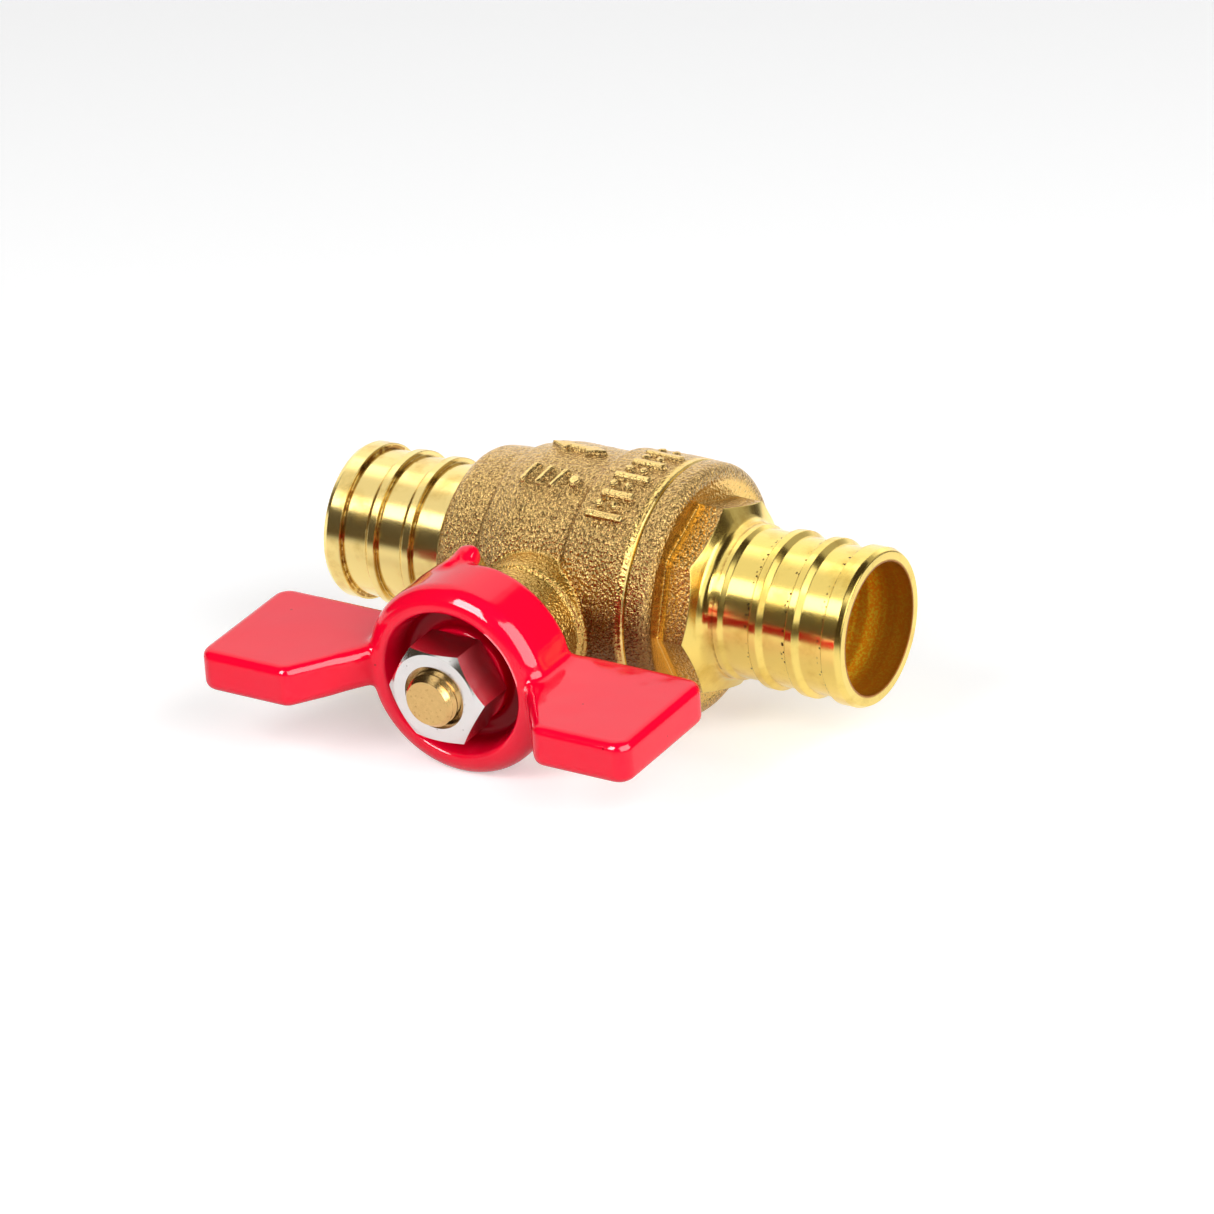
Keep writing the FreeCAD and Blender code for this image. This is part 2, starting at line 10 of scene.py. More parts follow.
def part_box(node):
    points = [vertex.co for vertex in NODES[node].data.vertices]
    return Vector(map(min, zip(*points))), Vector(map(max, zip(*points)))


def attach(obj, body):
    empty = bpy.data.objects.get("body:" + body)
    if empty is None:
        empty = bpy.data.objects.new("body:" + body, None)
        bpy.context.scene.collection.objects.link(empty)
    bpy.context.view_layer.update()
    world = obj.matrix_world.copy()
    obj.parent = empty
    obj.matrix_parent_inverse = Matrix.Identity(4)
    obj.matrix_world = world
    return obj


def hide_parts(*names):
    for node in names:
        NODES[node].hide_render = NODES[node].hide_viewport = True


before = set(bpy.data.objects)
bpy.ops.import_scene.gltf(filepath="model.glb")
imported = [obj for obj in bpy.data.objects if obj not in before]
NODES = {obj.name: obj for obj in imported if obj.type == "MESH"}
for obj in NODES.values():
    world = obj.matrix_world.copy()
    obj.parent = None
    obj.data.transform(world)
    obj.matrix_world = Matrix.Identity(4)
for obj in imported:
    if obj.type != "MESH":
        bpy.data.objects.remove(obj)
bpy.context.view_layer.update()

# Everything is in metres, in the frame of the CAD model: X along the pipe, the stem and the
# handle towards -Y, Z up, and the origin at the centre of the ball.
MM = 0.001

BODY_LOW, BODY_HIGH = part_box("body")
ADAPTER_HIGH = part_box("end_adapter")[1]

# Places along the pipe
LEFT_END = BODY_LOW.x
RIGHT_END = ADAPTER_HIGH.x
SEAM = BODY_HIGH.x
TAIL_LENGTH = 15.85 * MM
COLLAR_FACE = LEFT_END + TAIL_LENGTH
BALL_ROOM_END = -7.4 * MM
SHOULDER_END = 14.95 * MM
CONE_EDGE = RIGHT_END - 18.45 * MM
CONE_STEEPNESS = 2.1
END_LAND = 2.3 * MM
RIB_PITCH = 4.53 * MM

# Radii about the pipe
BORE_RADIUS = 7.45 * MM
CREST_RADIUS = 8.92 * MM
SEAT_RADIUS = 9.9 * MM
OCTAGON_RADIUS = 11.15 * MM
THREAD_RADIUS = 12.4 * MM
BARREL_RADIUS = 13.4 * MM
DRUM_RADIUS = 14.3 * MM

# The boss and the handle: radii about the stem, and heights along it from the pipe's axis
PACKING_RADIUS = 5.2 * MM
BOSS_FOOT_RADIUS = 7.15 * MM
BOSS_ROOT = 11.0 * MM
HUB_RADIUS = 11.2 * MM
HUB_REAR = 22.5 * MM
HUB_LIP = 30.6 * MM
RECESS_RADIUS = 8.3 * MM
WING_HALF_THICKNESS = 2.4 * MM
UPPER_FINGER = 104
LOWER_FINGER = 225

# Brass surfaces
CAST_ROUGHNESS = 0.23
GRAIN_SIZE = 0.38 * MM
SAND_SIZE = 0.37 * MM
GRAIN_DEPTH = 0.36 * MM
RING_DEPTH = 0.0024 * MM
EDGE_ROUND = 0.2 * MM

# The studio: directions are (azimuth, elevation) in degrees, seen from the valve
FRONT_BOX = (-12.5, 36)
SIDE_BOX = (78, 29)
KEY_DISTANCE = 0.66
MIRROR_DISTANCE = 0.6


# ---- shader helpers -----------------------------------------------------------------

class Shader:
    """A node tree with short ways to add and join its nodes."""

    def __init__(self, tree):
        self.tree = tree

    def add(self, kind, **inputs):
        """Add a node and fill its inputs; an underscore in a name stands for a space."""
        node = self.tree.nodes.new(kind)
        for name, value in inputs.items():
            self.feed(node.inputs[name.replace("_", " ")], value)
        return node

    def feed(self, socket, value):
        """Join a socket to another one, or set its value."""
        if isinstance(value, bpy.types.NodeSocket):
            self.tree.links.new(value, socket)
        else:
            socket.default_value = value

    def math(self, operation, first, second=0.0):
        node = self.tree.nodes.new("ShaderNodeMath")
        node.operation = operation
        self.feed(node.inputs[0], first)
        self.feed(node.inputs[1], second)
        return node.outputs[0]

    def both(self, first, *others):
        """The product of several masks: 1 only where all of them are 1."""
        result = first
        for other in others:
            result = self.math("MULTIPLY", result, other)
        return result

    def step(self, value, start, stop):
        """A smooth step: 0 at start, 1 at stop."""
        node = self.add("ShaderNodeMapRange", Value=value, From_Min=start, From_Max=stop)
        node.interpolation_type = "SMOOTHSTEP"
        return node.outputs["Result"]

    def between(self, value, start, stop, soft):
        """1 between two values, with soft edges, and 0 outside them."""
        return self.both(self.step(value, start - soft, start + soft),
                         self.step(value, stop + soft, stop - soft))

    def mix(self, factor, first, second):
        """Blend two colours; sockets 6 and 7 of the node are its colours."""
        node = self.tree.nodes.new("ShaderNodeMix")
        node.data_type = "RGBA"
        self.feed(node.inputs[0], factor)
        self.feed(node.inputs[6], first)
        self.feed(node.inputs[7], second)
        return node.outputs[2]

    def blend(self, factor, first, second):
        """Blend two numbers; sockets 2 and 3 of the node are its numbers."""
        node = self.tree.nodes.new("ShaderNodeMix")
        self.feed(node.inputs[0], factor)
        self.feed(node.inputs[2], first)
        self.feed(node.inputs[3], second)
        return node.outputs[0]

    def noise(self, place, size, detail=2.0, roughness=0.5):
        """Cloudy noise whose lumps are about one size across, in metres."""
        node = self.add(
            "ShaderNodeTexNoise", Vector=place, Scale=1.0 / size, Detail=detail,
            Roughness=roughness,
        )
        return node.outputs["Fac"]

    def cells(self, place, size):
        """Distance to the nearest of scattered points, in cells of one size, in metres."""
        node = self.add("ShaderNodeTexVoronoi", Vector=place, Scale=1.0 / size)
        return node.outputs["Distance"]

    def bump(self, height, distance, normal=None):
        node = self.add("ShaderNodeBump", Height=height, Distance=distance, Strength=1.0)
        if normal is not None:
            self.feed(node.inputs["Normal"], normal)
        return node.outputs["Normal"]

    def rounded(self, radius):
        """Shading normal with every edge rounded."""
        node = self.add("ShaderNodeBevel", Radius=radius)
        node.samples = 6
        return node.outputs["Normal"]

    def split(self, vector):
        return self.add("ShaderNodeSeparateXYZ", Vector=vector).outputs

    def join(self, x, y, z):
        node = self.tree.nodes.new("ShaderNodeCombineXYZ")
        for socket, value in zip(node.inputs, (x, y, z)):
            self.feed(socket, value)
        return node.outputs[0]

    def around(self, first, second):
        """Distance from an axis, from the two coordinates across it."""
        squares = self.math("ADD", self.math("MULTIPLY", first, first),
                            self.math("MULTIPLY", second, second))
        return self.math("SQRT", squares)


class Surface(Shader):
    """A material with one Principled shader, placed by the object's own coordinates."""

    def __init__(self, name):
        self.material = bpy.data.materials.new(name)
        self.material.use_nodes = True
        super().__init__(self.material.node_tree)
        self.shader = self.tree.nodes["Principled BSDF"]
        self.place = self.add("ShaderNodeTexCoord").outputs["Object"]
        self.x, self.y, self.z = self.split(self.place)

    def set(self, **inputs):
        for name, value in inputs.items():
            self.feed(self.shader.inputs[name.replace("_", " ")], value)


# ---- mesh helpers -------------------------------------------------------------------

def copy_of(node, name):
    """A new piece with a copy of a CAD node's mesh."""
    piece = bpy.data.objects.new(name, NODES[node].data.copy())
    bpy.context.scene.collection.objects.link(piece)
    return piece


def paint(piece, material):
    """Give a piece one material in place of those it has."""
    slots = piece.data.materials
    slots.clear()
    slots.append(material)


def bake(piece):
    """Turn a piece's modifiers into its mesh."""
    bpy.context.view_layer.update()
    graph = bpy.context.evaluated_depsgraph_get()
    mesh = bpy.data.meshes.new_from_object(piece.evaluated_get(graph), depsgraph=graph)
    piece.modifiers.clear()
    piece.data = mesh


def remesh(piece, voxel):
    """Rebuild a piece from small even faces, which joins everything that overlaps."""
    modifier = piece.modifiers.new("remesh", "REMESH")
    modifier.mode = "VOXEL"
    modifier.voxel_size = voxel
    modifier.use_smooth_shade = True
    bake(piece)


def smooth(piece, rounds, weights=None):
    """Relax a piece's mesh, all over or by a weight for each vertex."""
    finest = 20
    modifier = piece.modifiers.new("smooth", "SMOOTH")
    modifier.factor = 0.5
    modifier.iterations = rounds
    if weights is not None:
        group = piece.vertex_groups.new(name="soft")
        levels = np.round(weights * finest).astype(int)
        for level in range(1, finest + 1):
            members = np.nonzero(levels == level)[0]
            group.add(members.tolist(), level / finest, "REPLACE")
        modifier.vertex_group = group.name
    bake(piece)
    piece.vertex_groups.clear()


def points_of(mesh):
    """All vertices of a mesh, as rows of three numbers."""
    points = np.empty(len(mesh.vertices) * 3)
    mesh.vertices.foreach_get("co", points)
    return points.reshape(-1, 3)


def normals_of(mesh):
    """The normal at each vertex of a mesh."""
    normals = np.empty(len(mesh.vertices) * 3)
    mesh.vertex_normals.foreach_get("vector", normals)
    return normals.reshape(-1, 3)


def set_points(mesh, points):
    mesh.vertices.foreach_set("co", points.reshape(-1))
    mesh.update()


def ramp(value, start, stop):
    """A smooth step for arrays: 0 at start, 1 at stop."""
    part = np.clip((value - start) / (stop - start), 0.0, 1.0)
    return part * part * (3.0 - 2.0 * part)


def lumps(points, size):
    """Smooth noise between -1 and 1 whose lumps are about one size across."""
    scale = 1.0 / size
    return np.array([noise.noise(Vector(point) * scale) for point in points])


def part_of(mesh, x_cut, keep_above):
    """The closed part of a hollow turned mesh on one side of a plane across the pipe."""
    half = bmesh.new()
    half.from_mesh(mesh)
    everything = half.verts[:] + half.edges[:] + half.faces[:]
    cut = bmesh.ops.bisect_plane(
        half, geom=everything, plane_co=(x_cut, 0, 0), plane_no=(1, 0, 0),
        clear_inner=keep_above, clear_outer=not keep_above,
    )
    rim = [item for item in cut["geom_cut"] if isinstance(item, bmesh.types.BMEdge)]
    rim = [edge for edge in rim if edge.is_boundary]
    bmesh.ops.bridge_loops(half, edges=rim)
    return half


def add_blocks(mesh, blocks):
    """Add closed blocks of (corners, faces) to a mesh, without joining them."""
    work = bmesh.new()
    work.from_mesh(mesh)
    for corners, faces in blocks:
        verts = [work.verts.new(corner) for corner in corners]
        for face in faces:
            work.faces.new([verts[index] for index in face])
    bmesh.ops.recalc_face_normals(work, faces=work.faces[:])
    work.to_mesh(mesh)
    work.free()


# ---- the casting --------------------------------------------------------------------

def raised_mark(outline, radius, x, angle, skew=0.0):
    """A closed block on the cylinder of one radius; its outline is (along, around) in mm.

    The outline's origin lies at x and at the angle from the stem's side over the top.
    """
    half_height = 0.5 * MM
    corners = []
    for height in (-half_height, half_height):
        for along, around in outline:
            turn = math.radians(angle) + around * MM / radius
            reach = radius + height
            corners.append((x + (along + skew * around) * MM,
                            -reach * math.cos(turn), reach * math.sin(turn)))
    count = len(outline)
    sides = []
    for index in range(count):
        following = (index + 1) % count
        sides.append((index, following, following + count, index + count))
    bottom = tuple(reversed(range(count)))
    top = tuple(range(count, 2 * count))
    return corners, sides + [bottom, top]


def bar(length, width):
    """Outline of a bar along the pipe."""
    return [(-length / 2, -width / 2), (length / 2, -width / 2),
            (length / 2, width / 2), (-length / 2, width / 2)]


def pip(size):
    """Outline of a round dot."""
    steps = [math.radians(45 * index) for index in range(8)]
    return [(size / 2 * math.cos(step), size / 2 * math.sin(step)) for step in steps]


def flow_arrow(length, width):
    """Outline of an arrow with a head at both ends: water may flow either way."""
    tip = length / 2
    neck = tip - width
    shaft = width * 0.22
    right = [(neck, -shaft), (neck, -width / 2), (tip, 0), (neck, width / 2), (neck, shaft)]
    left = [(-along, -around) for along, around in right]
    return right + left


def barrel_marks():
    """A flow arrow near the top of the barrel, and a row of slanted bars and a dot below."""
    arrow_angle = 98
    row_angle = 71
    marks = [raised_mark(flow_arrow(7.2, 2.4), BARREL_RADIUS, -2.2 * MM, arrow_angle)]
    for index in range(3):
        x = (-4.9 + 1.9 * index) * MM
        marks.append(raised_mark(bar(0.75, 2.9), BARREL_RADIUS, x, row_angle, skew=0.25))
    marks.append(raised_mark(pip(1.5), BARREL_RADIUS, 0.9 * MM, row_angle))
    return marks


def drum_marks():
    """Five bars around the drum, long and short in turn, each followed by two dots."""
    first_angle = 54
    pitch = 11.5
    marks = []
    for index in range(5):
        x = (7.0 + 0.35 * index) * MM
        length = 4.6 - 0.5 * (index % 2)
        angle = first_angle + pitch * index
        marks.append(raised_mark(bar(length, 0.8), DRUM_RADIUS, x, angle))
        for shift in (-1.2, 0.6):
            marks.append(raised_mark(pip(1.0), DRUM_RADIUS, x + shift * MM, angle + 5.7))
    return marks


def sand_surface(mesh):
    """Give the casting's outside the lumpy surface of a sand mould."""
    points = points_of(mesh)
    x = points[:, 0]
    from_pipe = np.hypot(points[:, 1], points[:, 2])
    from_stem = np.hypot(x, points[:, 2])
    height = -points[:, 1]
    inner_radius = np.where(x > BALL_ROOM_END, THREAD_RADIUS + 0.2 * MM,
                            SEAT_RADIUS + 0.3 * MM)
    inside = (from_pipe < inner_radius) & (x > COLLAR_FACE + 0.2 * MM)
    inside |= (height > BOSS_ROOT) & (from_stem < PACKING_RADIUS + 0.4 * MM)
    on_boss = (height > BOSS_ROOT) & (from_stem < BOSS_FOOT_RADIUS + 0.1 * MM)
    at_seam = ramp(x, SEAM - 0.2 * MM, SEAM - 0.6 * MM)
    at_tail = ramp(x, COLLAR_FACE - 0.1 * MM, COLLAR_FACE + 0.3 * MM)
    amount = np.where(inside, 0.0, np.where(on_boss, 0.4, 1.0)) * at_seam * at_tail
    fine = lumps(points, 0.42 * MM) * 0.032 * MM
    coarse = lumps(points, 1.3 * MM) * 0.03 * MM
    relief = fine + coarse
    set_points(mesh, points + normals_of(mesh) * (relief * amount)[:, None])


def fit_crisp_tail(casting):
    """Put the CAD's sharp tail back in place of the remeshed one."""
    joint = COLLAR_FACE - 0.25 * MM
    whole = part_of(casting.data, joint, keep_above=True)
    tail = part_of(NODES["body"].data, joint, keep_above=False)
    spare = bpy.data.meshes.new("tail")
    tail.to_mesh(spare)
    whole.from_mesh(spare)
    whole.to_mesh(casting.data)
    whole.free()
    tail.free()
    bpy.data.meshes.remove(spare)


def make_casting():
    """The cast body with its sand surface and marks, and its crisp machined tail."""
    casting = copy_of("body", "cast_body")
    add_blocks(casting.data, barrel_marks() + drum_marks())
    remesh(casting, 0.17 * MM)
    smooth(casting, 2)
    sand_surface(casting.data)
    fit_crisp_tail(casting)
    paint(casting, body_brass())
    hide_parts("body")
    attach(casting, "valve_body")
    return casting


# ---- the dipped handle --------------------------------------------------------------

def softness(points):
    """How far each point of the skin has to relax: most where wings and fingers root."""
    full = 0.6 * MM
    none = 2.2 * MM
    lip_middle = 10.2 * MM
    x, y, z = points.T
    height = -y
    from_stem = np.hypot(x, z)
    beside = np.abs(np.abs(z) - WING_HALF_THICKNESS)
    at_cup = np.abs(from_stem - HUB_RADIUS)
    roots = ramp(np.hypot(beside, at_cup), none, full) * (np.abs(x) > HUB_RADIUS / 2)
    on_lip = np.hypot(np.abs(x) - lip_middle, height - HUB_LIP - 0.3 * MM)
    lip_roots = ramp(on_lip, none, full)
    lip_roots *= ramp(np.abs(z), WING_HALF_THICKNESS + 1.5 * MM, WING_HALF_THICKNESS)
    soft = np.maximum(roots, lip_roots)
    for degrees in (UPPER_FINGER, LOWER_FINGER):
        root_x = HUB_RADIUS * math.cos(math.radians(degrees))
        root_z = HUB_RADIUS * math.sin(math.radians(degrees))
        away = np.hypot(np.hypot(x - root_x, z - root_z), height - HUB_REAR)
        soft = np.maximum(soft, ramp(away, 5.0 * MM, 2.4 * MM))
    return soft


def finger_gusset():
    """A closed wedge that lets the upper finger rise slowly out of the cup's rear edge."""
    sections = 7
    spread = 24
    inner = HUB_RADIUS - 0.25 * MM
    front = HUB_REAR + 2 * MM
    corners = []
    for index in range(sections):
        part = index / (sections - 1)
        turn = math.radians(UPPER_FINGER + 1 + spread * part)
        rise = (1 - part) ** 1.7
        outer = HUB_RADIUS + (0.8 * rise - 0.05) * MM
        rear = HUB_REAR - (3.2 * rise - 0.1) * MM
        for radius, height in ((inner, front), (inner, rear), (outer, rear), (outer, front)):
            corners.append((radius * math.cos(turn), -height, radius * math.sin(turn)))
    last = 4 * (sections - 1)
    faces = [(3, 2, 1, 0), (last, last + 1, last + 2, last + 3)]
    for start in range(0, last, 4):
        for corner in range(4):
            following = (corner + 1) % 4
            faces.append((start + corner, start + following,
                          start + 4 + following, start + 4 + corner))
    return corners, faces


def outside_of_skin(points):
    """1 on the skin's outside, and 0 where it lies against the handle's core."""
    core = NODES["handle_core"].data
    tree = BVHTree.FromPolygons([vertex.co for vertex in core.vertices],
                                [tuple(face.vertices) for face in core.polygons])
    to_core = np.array([tree.find_nearest(Vector(point))[3] for point in points])
    return ramp(to_core, 0.25 * MM, 0.45 * MM)


def make_skin():
    """The vinyl that the handle was dipped in: every inside corner is filled and soft."""
    skin = copy_of("handle_skin", "dipped_skin")
    add_blocks(skin.data, [finger_gusset()])
    remesh(skin, 0.16 * MM)
    points = points_of(skin.data)
    outside = outside_of_skin(points)
    smooth(skin, 90, softness(points) * outside)
    smooth(skin, 6, outside)
    paint(skin, red_vinyl())
    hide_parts("handle_skin")
    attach(skin, "handle")
    return skin


# ---- brass of the body and the adapter ----------------------------------------------

def cast_grain(surface):
    """Colour and height of sand-cast brass blasted to a glittering grain, with painted shade
    under the handle.
    """
    light = (0.80, 0.54, 0.19, 1)
    dark = (0.70, 0.46, 0.17, 1)
    hollow = (0.28, 0.13, 0.04, 1)
    shaded = (0.14, 0.04, 0.012, 1)
    place = surface.place
    pebbles = surface.math("SUBTRACT", 1.0, surface.cells(place, GRAIN_SIZE))
    sand = surface.noise(place, SAND_SIZE, 2.0, 0.6)
    grain = surface.math("ADD", surface.math("MULTIPLY", pebbles, 0.35),
                         surface.math("MULTIPLY", sand, 0.65))
    patches = surface.noise(place, 5.0 * MM, 3.0)
    tint = surface.mix(patches, light, dark)
    deep = surface.step(grain, 0.56, 0.38)
    colour = surface.mix(surface.math("MULTIPLY", deep, 0.5), tint, hollow)
    # Painted shade: the drum's lower front, below the handle, is painted dark brown where the
    # handle shades it.
    shade_under_handle = surface.both(surface.step(surface.y, -8.5 * MM, -12.0 * MM),
                                surface.step(surface.z, 6.5 * MM, 0.5 * MM))
    colour = surface.mix(surface.math("MULTIPLY", shade_under_handle, 0.8), colour, shaded)
    return colour, grain


def change_grain(surface, grain, where, tint, share):
    """Give part of a casting another colour, and only a share of its grain's height."""
    colour, height = grain
    height = surface.math("MULTIPLY", height, surface.blend(where, 1.0, share))
    return surface.mix(where, colour, tint), height


def turned_brass(surface, clean, stained, from_end):
    """Colour, roughness and height of machined brass with fine rings about the pipe.

    Dirt lines the foot of every rib, with tiny pits; from_end is the distance from the rim.
    """
    dirty = (0.42, 0.20, 0.03, 1)
    pitted = (0.06, 0.03, 0.01, 1)
    stretch = 0.02
    across = surface.join(surface.x, surface.math("MULTIPLY", surface.y, stretch),
                          surface.math("MULTIPLY", surface.z, stretch))
    rings = surface.noise(across, 0.12 * MM, 3.0, 0.7)
    clouds = surface.noise(surface.place, 4.0 * MM, 4.0, 0.6)
    stain = surface.step(clouds, 0.45, 0.72)
    colour = surface.mix(stain, clean, stained)
    past_step = surface.math("MODULO", surface.math("SUBTRACT", from_end, END_LAND), RIB_PITCH)
    radius = surface.around(surface.y, surface.z)
    inboard = surface.step(from_end, END_LAND - 0.1 * MM, END_LAND)
    foot = surface.both(
        surface.step(past_step, 0.45 * MM, 0.05 * MM),
        surface.step(radius, CREST_RADIUS - 0.1 * MM, CREST_RADIUS - 0.3 * MM), inboard,
    )
    flecks = surface.step(surface.noise(surface.place, 1.2 * MM, 3.0, 0.7), 0.36, 0.56)
    colour = surface.mix(surface.both(foot, flecks), colour, dirty)
    near = surface.both(
        surface.step(past_step, 0.9 * MM, 0.6 * MM), surface.step(surface.x, 0.0, 1.0 * MM),
        surface.step(from_end, TAIL_LENGTH - 0.5 * MM, TAIL_LENGTH - 1.0 * MM), inboard,
    )
    holes = surface.step(surface.cells(surface.place, 0.55 * MM), 0.31, 0.24)
    colour = surface.mix(surface.both(near, holes), colour, pitted)
    roughness = surface.math("ADD", 0.16, surface.math("MULTIPLY", stain, 0.08))
    return colour, roughness, rings


def finish_brass(surface, casting, grain, turned):
    """Join rough and turned brass, and the bore; casting is 1 where the brass is rough."""
    grain_colour, grain_height = grain
    turned_colour, turned_rough, rings = turned
    bored = bore_mask(surface)
    colour = surface.mix(casting, turned_colour, grain_colour)
    rough = surface.blend(casting, turned_rough, CAST_ROUGHNESS)
    normal = surface.bump(surface.math("MULTIPLY", grain_height, casting), GRAIN_DEPTH,
                          surface.rounded(EDGE_ROUND))
    surface.set(
        Metallic=surface.blend(bored, 1.0, 0.5),
        Base_Color=surface.mix(bored, colour, bore_colour(surface)),
        Roughness=surface.blend(bored, rough, 0.36),
        Normal=surface.bump(rings, RING_DEPTH, normal),
    )


def bore_mask(surface):
    """1 on the walls of the bore."""
    radius = surface.around(surface.y, surface.z)
    return surface.step(radius, BORE_RADIUS + 0.3 * MM, BORE_RADIUS + 0.1 * MM)


def bore_colour(surface):
    """Inside a tail: speckled gold with rings, as the boring tool left it, painted darker
    towards the mouth as painted shade.
    """
    shade = (1.0, 0.40, 0.008, 1)
    gleam = (1.0, 0.80, 0.05, 1)
    band = (0.46, 0.15, 0.006, 1)
    rim = (0.30, 0.085, 0.004, 1)
    along = surface.join(surface.x, 0.0, 0.0)
    bands = surface.step(surface.noise(along, 1.6 * MM, 2.0), 0.40, 0.62)
    speckle = surface.step(surface.noise(surface.place, 0.3 * MM, 2.0, 0.7), 0.46, 0.60)
    depth = surface.math("SUBTRACT", RIGHT_END, surface.math("ABSOLUTE", surface.x))
    # Painted shade: the bore is painted darker towards its mouth.
    mouth = surface.step(depth, 5.5 * MM, 2.5 * MM)
    gold = surface.mix(speckle, shade, gleam)
    gold = surface.mix(surface.math("MULTIPLY", bands, 0.6), gold, band)
    return surface.mix(surface.math("MULTIPLY", mouth, 0.8), gold, rim)


def boss_mask(surface):
    """1 on the boss that holds the stem."""
    return surface.both(
        surface.step(surface.y, -BOSS_ROOT, -BOSS_ROOT - 0.8 * MM),
        surface.step(surface.around(surface.x, surface.z),
                     BOSS_FOOT_RADIUS + 0.5 * MM, BOSS_FOOT_RADIUS + 0.2 * MM),
    )


def mark_mask(surface, boss):
    """1 on the raised marks of barrel and drum, found by their radius about the pipe."""
    radius = surface.around(surface.y, surface.z)
    on_barrel = surface.both(
        surface.step(radius, BARREL_RADIUS + 0.25 * MM, BARREL_RADIUS + 0.4 * MM),
        surface.step(surface.x, 3.2 * MM, 2.8 * MM),
    )
    on_drum = surface.step(radius, DRUM_RADIUS + 0.25 * MM, DRUM_RADIUS + 0.4 * MM)
    return surface.both(surface.math("MAXIMUM", on_barrel, on_drum),
                        surface.math("SUBTRACT", 1.0, boss))


def body_brass():
    """The cast body: rough casting with a machined tail, seam edge and bore."""
    surface = Surface("body_brass")
    grain = cast_grain(surface)
    turned = turned_brass(
        surface, (0.90, 0.69, 0.26, 1), (0.74, 0.51, 0.15, 1),
        surface.math("SUBTRACT", surface.x, LEFT_END),
    )
    casting = surface.both(
        surface.step(surface.x, COLLAR_FACE - 0.1 * MM, COLLAR_FACE + 0.05 * MM),
        surface.step(surface.x, SEAM - 0.12 * MM, SEAM - 0.3 * MM),
    )
    boss = boss_mask(surface)
    # A band beside the seam is worn smoother, and painted a brighter gold as a painted
    # highlight.
    worn_and_sheen = surface.step(surface.x, SEAM - 1.3 * MM, SEAM - 0.6 * MM)
    grain = change_grain(surface, grain, boss, (0.72, 0.46, 0.13, 1), 0.7)
    grain = change_grain(surface, grain, mark_mask(surface, boss), (0.82, 0.57, 0.21, 1), 0.3)
    grain = change_grain(surface, grain, worn_and_sheen, (0.90, 0.62, 0.20, 1), 0.35)
    finish_brass(surface, casting, grain, turned)
    return surface.material


def adapter_brass():
    """The end adapter: rough shoulder and octagon, bright cone and tail."""
    surface = Surface("adapter_brass")
    grain = cast_grain(surface)
    turned = turned_brass(
        surface, (0.93, 0.70, 0.19, 1), (0.78, 0.53, 0.11, 1),
        surface.math("SUBTRACT", RIGHT_END, surface.x),
    )
    radius = surface.around(surface.y, surface.z)
    beyond = surface.math("MULTIPLY", surface.math("SUBTRACT", surface.x, CONE_EDGE),
                          CONE_STEEPNESS)
    over_cone = surface.math("SUBTRACT", surface.math("ADD", radius, beyond), OCTAGON_RADIUS)
    casting = surface.both(
        surface.step(over_cone, -0.02 * MM, -0.10 * MM),
        surface.step(surface.x, SEAM + 0.1 * MM, SEAM + 0.3 * MM),
        surface.math("SUBTRACT", 1.0, bore_mask(surface)),
    )
    # The groove by the shoulder is smoother, and tinted a brighter orange gold as a painted
    # reflection of the warm light it catches.
    groove = surface.both(
        surface.step(radius, OCTAGON_RADIUS + 2.0 * MM, OCTAGON_RADIUS + 1.2 * MM),
        surface.step(surface.x, SHOULDER_END + 0.3 * MM, SHOULDER_END),
    )
    grain = change_grain(surface, grain, groove, (0.86, 0.56, 0.16, 1), 0.35)
    finish_brass(surface, casting, grain, turned)
    return surface.material


# ---- the other metals ---------------------------------------------------------------

def stem_brass():
    """Turned stem: satin brass with rings about the stem and a slightly torn end face."""
    surface = Surface("stem_brass")
    radius = surface.around(surface.x, surface.z)
    rings = surface.noise(surface.join(radius, surface.y, 0.0), 0.14 * MM, 3.0, 0.7)
    tear = surface.noise(surface.place, 0.5 * MM, 4.0, 0.6)
    spots = surface.step(surface.cells(surface.place, 0.55 * MM), 0.30, 0.12)
    colour = surface.mix(tear, (0.78, 0.53, 0.21, 1), (0.60, 0.38, 0.14, 1))
    colour = surface.mix(surface.math("MULTIPLY", spots, 0.4), colour, (0.36, 0.19, 0.05, 1))
    normal = surface.bump(rings, 0.004 * MM)
    normal = surface.bump(tear, 0.012 * MM, normal)
    surface.set(Metallic=1.0, Base_Color=colour, Roughness=0.24, Normal=normal)
    return surface.material


def nickel_plate():
    """Nickel plate over a forged hex nut: silky, with faint pits and scuffs."""
    surface = Surface("nickel_plate")
    mottle = surface.noise(surface.place, 1.1 * MM, 3.0, 0.5)
    scuffs = surface.noise(surface.place, 0.15 * MM, 3.0, 0.6)
    pits = surface.step(surface.cells(surface.place, 0.9 * MM), 0.10, 0.06)
    colour = surface.mix(mottle, (0.80, 0.79, 0.77, 1), (0.74, 0.72, 0.70, 1))
    colour = surface.mix(pits, colour, (0.35, 0.32, 0.30, 1))
    roughness = surface.math("ADD", 0.16, surface.math("MULTIPLY", mottle, 0.10))
    normal = surface.bump(scuffs, 0.0025 * MM)
    surface.set(Metallic=1.0, Base_Color=colour, Roughness=roughness, Normal=normal)
    return surface.material


def chrome_ball():
    """Polished chrome with the faintest wear."""
    surface = Surface("chrome_ball")
    wear = surface.noise(surface.place, 2.0 * MM, 4.0, 0.6)
    colour = surface.mix(wear, (0.90, 0.91, 0.92, 1), (0.78, 0.80, 0.82, 1))
    roughness = surface.math("ADD", 0.04, surface.math("MULTIPLY", wear, 0.08))
    surface.set(Metallic=1.0, Base_Color=colour, Roughness=roughness)
    return surface.material


